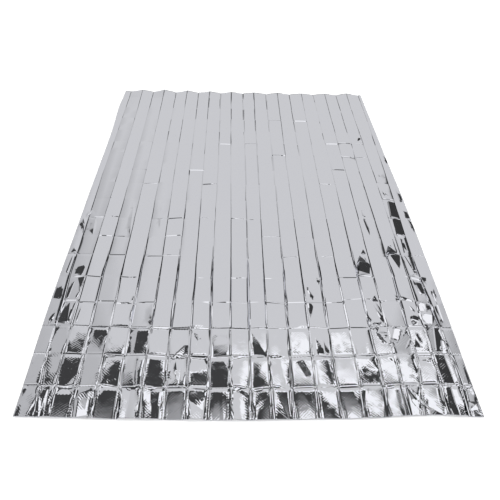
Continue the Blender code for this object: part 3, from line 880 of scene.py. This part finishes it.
def cut_creases(grid, panel_layer, row_layer):
    """Cuts each cell's creases into its faces."""
    cells = {}
    for face in grid.faces:
        panel = sum(vertex[panel_layer] for vertex in face.verts) / len(face.verts)
        row = sum(vertex[row_layer] for vertex in face.verts) / len(face.verts)
        cells.setdefault((int(panel), int(row)), []).append(face)
    for cell, creases in CREASES_AT.items():
        panel, row = cell
        near, far = cross_fold_place(row, panel, 0), cross_fold_place(row + 1, panel, 0)
        pairs = []
        for crease in creases:
            ends = []
            for x, y in ((crease.x, crease.y), (crease.to_x, crease.to_y)):
                v = between(near, far, (y + 1) / 2)
                u = between(boundary_place(panel, v), boundary_place(panel + 1, v), (x + 1) / 2)
                ends.append(Vector((u, v, 0)))
            pairs.append(ends)
        cut_lines(grid, cells[cell], pairs)


def cut_crumple(grid, crumple):
    """Cuts a crumple's crest and foot into the film."""
    start, end = Vector((crumple.u, crumple.v, 0)), Vector((crumple.to_u, crumple.to_v, 0))
    along = (end - start).normalized()
    across = Vector((along.y, -along.x, 0))
    length = (end - start).length
    faces = []
    for face in grid.faces:
        away = face.calc_center_median() - start
        run, off = away.dot(along), away.dot(across)
        if not -CUT_BEYOND_ENDS < run < length + CUT_BEYOND_ENDS:
            continue
        if -crumple.left - CUT_BEYOND_FEET < off < crumple.right + CUT_BEYOND_FEET:
            faces.append(face)
    pairs = [(start, end)]
    for side in (-crumple.left, crumple.right):
        low = start + along * crumple.rise * length + across * side
        high = start + along * crumple.fall * length + across * side
        pairs += [(start, low), (high, end)]
        if crumple.fall - crumple.rise > SHORTEST_CREST:
            pairs.append((low, high))
    for share in {crumple.rise, crumple.fall}:
        middle = start + along * share * length
        pairs.append((middle, middle + across))
    cut_lines(grid, faces, pairs)


def linear(code):
    """A linear colour with full alpha from an sRGB hex code."""
    parts = [int(code[i : i + 2], 16) / 255 for i in (1, 3, 5)]
    return tuple(c / 12.92 if c <= 0.04045 else ((c + 0.055) / 1.055) ** 2.4 for c in parts) + (1.0,)


class FilmSettings(bpy.types.PropertyGroup):
    """The film's thickness, colour and finish."""

    thickness: FloatProperty(
        name="Shown thickness",
        description="Thickness that the film is given, so that it is a closed solid",
        default=0.3 * MM,
        unit="LENGTH",
    )
    colour: FloatVectorProperty(
        name="Colour",
        description="Colour of the film's metal coat",
        default=linear("#F3F4FA"),
        size=4,
        min=0,
        max=1,
        subtype="COLOR",
    )
    roughness: FloatProperty(
        name="Roughness",
        description="How far the mirror finish spreads a reflection",
        default=0.03,
        subtype="FACTOR",
    )


class StageSettings(bpy.types.PropertyGroup):
    """The studio round the blanket."""

    floor_colour: FloatVectorProperty(
        name="Floor colour",
        description="Colour of the floor's paint",
        default=linear("#F6F6F6"),
        size=4,
        min=0,
        max=1,
        subtype="COLOR",
    )
    light: FloatProperty(
        name="Soft light",
        description="Strength of the even light on the floor",
        default=1.4,
    )


def add_node(tree, kind, settings=None, values=None):
    """Adds a node, sets its settings, and sets or links its inputs."""
    node = tree.nodes.new(kind)
    for name, value in (settings or {}).items():
        setattr(node, name, value)
    for name, value in (values or {}).items():
        if isinstance(value, bpy.types.NodeSocket):
            tree.links.new(value, node.inputs[name])
        else:
            node.inputs[name].default_value = value
    return node


def film_material(settings):
    """Aluminised polyester film."""
    # The aluminium is laid on the film as vapour, so the film mirrors like polished metal, a little blue,
    # and only its own ripples and its fine hatch break up what it mirrors.
    material = bpy.data.materials.new("aluminised_polyester_film")
    material.use_nodes = True
    tree = material.node_tree
    shader = tree.nodes["Principled BSDF"]
    shader.inputs["Base Color"].default_value = settings.colour
    shader.inputs["Metallic"].default_value = 1.0
    shader.inputs["Roughness"].default_value = settings.roughness
    place = add_node(tree, "ShaderNodeTexCoord").outputs["Object"]
    ripple = add_node(tree, "ShaderNodeTexNoise", None,
                      {"Vector": place, "Scale": 1 / (RIPPLE_SIZE * MM), "Detail": 1.0})
    height = add_node(tree, "ShaderNodeMath", {"operation": "MULTIPLY"},
                      {0: ripple.outputs["Fac"], 1: RIPPLE_RISE}).outputs[0]
    along = add_node(tree, "ShaderNodeSeparateXYZ", None, {"Vector": place}).outputs["Y"]
    hatch_rise = add_node(tree, "ShaderNodeMapRange", None,
                          {"Value": along, "From Min": (HATCH_FADE_START - SHEET_MIDDLE.y) * MM,
                           "From Max": (HATCH_FADE_END - SHEET_MIDDLE.y) * MM, "To Min": HATCH_RISE,
                           "To Max": 0.0}).outputs[0]
    mirrored = add_node(tree, "ShaderNodeMapping", None, {"Vector": place, "Scale": (1.0, -1.0, 1.0)})
    for way in (place, mirrored.outputs[0]):
        patch = add_node(tree, "ShaderNodeTexNoise", {"noise_dimensions": "4D"},
                         {"Vector": way, "W": PATCH_SEED, "Scale": 1 / (PATCH_SIZE * MM), "Detail": 1.0})
        hatch = add_node(tree, "ShaderNodeTexWave", {"bands_direction": "DIAGONAL"},
                         {"Vector": way, "Scale": BAND_SPACING / (HATCH_SPACING * MM), "Detail": 1.0,
                          "Distortion": HATCH_DISTORTION, "Detail Scale": HATCH_DISTORTION_SCALE})
        strength = add_node(tree, "ShaderNodeMapRange", None,
                            {"Value": patch.outputs["Fac"], "From Min": HATCH_PATCH_START,
                             "From Max": HATCH_PATCH_FULL, "To Min": 0.0, "To Max": hatch_rise})
        height = add_node(tree, "ShaderNodeMath", {"operation": "MULTIPLY_ADD"},
                          {0: hatch.outputs["Fac"], 1: strength.outputs[0], 2: height}).outputs[0]
    bump = add_node(tree, "ShaderNodeBump", None, {"Height": height, "Distance": MM, "Strength": 1.0})
    tree.links.new(bump.outputs["Normal"], shader.inputs["Normal"])
    return material


def floor_material(settings):
    """Matt white floor paint."""
    # A chalky finish with no shine, so the floor shows only the soft light and the blanket's shadow.
    material = bpy.data.materials.new("matt_white_floor_paint")
    material.use_nodes = True
    shader = material.node_tree.nodes["Principled BSDF"]
    shader.inputs["Base Color"].default_value = settings.floor_colour
    shader.inputs["Roughness"].default_value = FLOOR_ROUGHNESS
    shader.inputs["Specular IOR Level"].default_value = 0.0
    return material


def film_grid():
    """The flat sheet as a grid whose vertices know their panel and row, with its creases cut into it."""
    across = lines([PANEL_LINES] * (len(LONG_FOLDS) + 1))
    along = lines([NEAR_ROW_LINES] * NEAR_ROWS + [CLOSE_ROW_LINES] * (CLOSE_ROWS - NEAR_ROWS)
                  + [FAR_ROW_LINES] * (ROWS - CLOSE_ROWS))
    grid = bmesh.new()
    bmesh.ops.create_grid(grid, x_segments=len(across) - 1, y_segments=len(along) - 1, size=1)
    for vertex in grid.verts:
        column = round((vertex.co.x + 1) / 2 * (len(across) - 1))
        row = round((vertex.co.y + 1) / 2 * (len(along) - 1))
        vertex.co = (across[column], along[row], 0)
    divide_across(grid, CLOSE_ROWS, PANEL_FLANK, 2)
    divide_across(grid, CLOSE_ROWS, HALF_PANEL, 1)
    divide_across(grid, NEAR_ROWS, PANEL_FLANK, 1, inner=True)
    panel_layer = grid.verts.layers.float.new("panel")
    row_layer = grid.verts.layers.float.new("row")
    for vertex in grid.verts:
        vertex[panel_layer], vertex[row_layer] = vertex.co.xy
        vertex.co = film_place(*vertex.co.xy)
    cut_creases(grid, panel_layer, row_layer)
    for crumple in CRUMPLES:
        cut_crumple(grid, crumple)
    return grid


class BLANKET_OT_film(bpy.types.Operator):
    """Make the folded film sheet"""

    bl_idname = "blanket.film"
    bl_label = "Make the film"

    def execute(self, context):
        settings = context.scene.blanket_film
        grid = film_grid()
        layers = grid.verts.layers.float
        panel_layer, row_layer = layers["panel"], layers["row"]
        for vertex in grid.verts:
            vertex.co = film_point(vertex[panel_layer], vertex[row_layer], *vertex.co.xy)
        for face in grid.faces:
            face.smooth = True
        layers.remove(layers["panel"])
        layers.remove(layers["row"])
        mesh = bpy.data.meshes.new("film")
        grid.to_mesh(mesh)
        grid.free()
        mesh.set_sharp_from_angle(angle=math.radians(SHARP_FOLD_ANGLE))
        film = bpy.data.objects.new("film", mesh)
        context.scene.collection.objects.link(film)
        film.data.materials.append(film_material(settings))
        thicken = film.modifiers.new("thickness", "SOLIDIFY")
        thicken.thickness = settings.thickness
        thicken.offset = 1
        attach(film, "root")
        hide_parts("film_sheet")
        return {"FINISHED"}


class BLANKET_OT_stage(bpy.types.Operator):
    """Make the floor, the soft studio light and the camera"""

    bl_idname = "blanket.stage"
    bl_label = "Set the stage"

    def execute(self, context):
        settings = context.scene.blanket_stage
        floor_mesh = bpy.data.meshes.new("floor")
        plane = bmesh.new()
        bmesh.ops.create_grid(plane, x_segments=1, y_segments=1, size=FLOOR_REACH)
        plane.to_mesh(floor_mesh)
        plane.free()
        floor = bpy.data.objects.new("floor", floor_mesh)
        context.scene.collection.objects.link(floor)
        floor.data.materials.append(floor_material(settings))
        make_world(context.scene, settings)
        make_camera(context.scene)
        return {"FINISHED"}


def make_world(scene, settings):
    """Soft white studio: even light, and a pattern of walls and lamps for the film alone to mirror."""
    world = bpy.data.worlds.new("studio")
    scene.world = world
    scene.view_settings.view_transform = "Standard"
    world.use_nodes = True
    tree = world.node_tree
    tree.nodes.clear()
    direction = add_node(tree, "ShaderNodeTexCoord").outputs["Generated"]
    axes = add_node(tree, "ShaderNodeSeparateXYZ", None, {"Vector": direction}).outputs
    values = {name: axes[name] for name in "XYZ"}
    for step in STUDIO:
        if isinstance(step, Shade):
            node = add_node(tree, "ShaderNodeMapRange", {"interpolation_type": "SMOOTHSTEP"},
                            {"Value": values[step.of], "From Min": step.start, "From Max": step.end,
                             "To Min": step.low, "To Max": step.high})
        else:
            node = add_node(tree, "ShaderNodeMath", {"operation": step.operation},
                            {0: values[step.first], 1: values.get(step.second, step.second)})
        values[step.name] = node.outputs[0]
    strength = add_node(tree, "ShaderNodeMix", {"data_type": "FLOAT"},
                        {0: values["overhead"], 2: values["wall"], 3: values["ceiling"]}).outputs[0]
    white = linear("#FFFFFF")
    mirrored = add_node(tree, "ShaderNodeBackground", None, {"Color": white, "Strength": strength})
    even = add_node(tree, "ShaderNodeBackground", None, {"Color": white, "Strength": settings.light})
    glossy = add_node(tree, "ShaderNodeLightPath").outputs["Is Glossy Ray"]
    both = add_node(tree, "ShaderNodeMixShader", None,
                    {0: glossy, 1: even.outputs[0], 2: mirrored.outputs[0]})
    add_node(tree, "ShaderNodeOutputWorld", None, {"Surface": both.outputs[0]})


def make_camera(scene):
    """The camera at the near end of the sheet."""
    data = bpy.data.cameras.new("camera")
    data.sensor_width = CAMERA_SENSOR
    data.lens = CAMERA_LENS
    camera = bpy.data.objects.new("camera", data)
    scene.collection.objects.link(camera)
    camera.matrix_world = (
        Matrix.Translation(CAMERA_PLACE)
        @ Matrix.Rotation(math.radians(CAMERA_TURN), 4, "Z")
        @ Matrix.Rotation(math.radians(CAMERA_TILT), 4, "X")
        @ Matrix.Rotation(math.radians(CAMERA_ROLL), 4, "Z")
    )
    scene.camera = camera


class BLANKET_PT_panel(bpy.types.Panel):
    """Lists the pieces that can be made"""

    bl_label = "Foil Blanket"
    bl_space_type = "VIEW_3D"
    bl_region_type = "UI"
    bl_category = "Foil Blanket"

    def draw(self, context):
        self.layout.operator("blanket.film")
        self.layout.operator("blanket.stage")


CLASSES = (FilmSettings, StageSettings, BLANKET_OT_film, BLANKET_OT_stage, BLANKET_PT_panel)


def register():
    for item in CLASSES:
        bpy.utils.register_class(item)
    bpy.types.Scene.blanket_film = PointerProperty(type=FilmSettings)
    bpy.types.Scene.blanket_stage = PointerProperty(type=StageSettings)


def unregister():
    del bpy.types.Scene.blanket_stage
    del bpy.types.Scene.blanket_film
    for item in reversed(CLASSES):
        bpy.utils.unregister_class(item)


def main():
    register()
    bpy.ops.blanket.film()
    bpy.ops.blanket.stage()


if __name__ == "__main__":
    main()
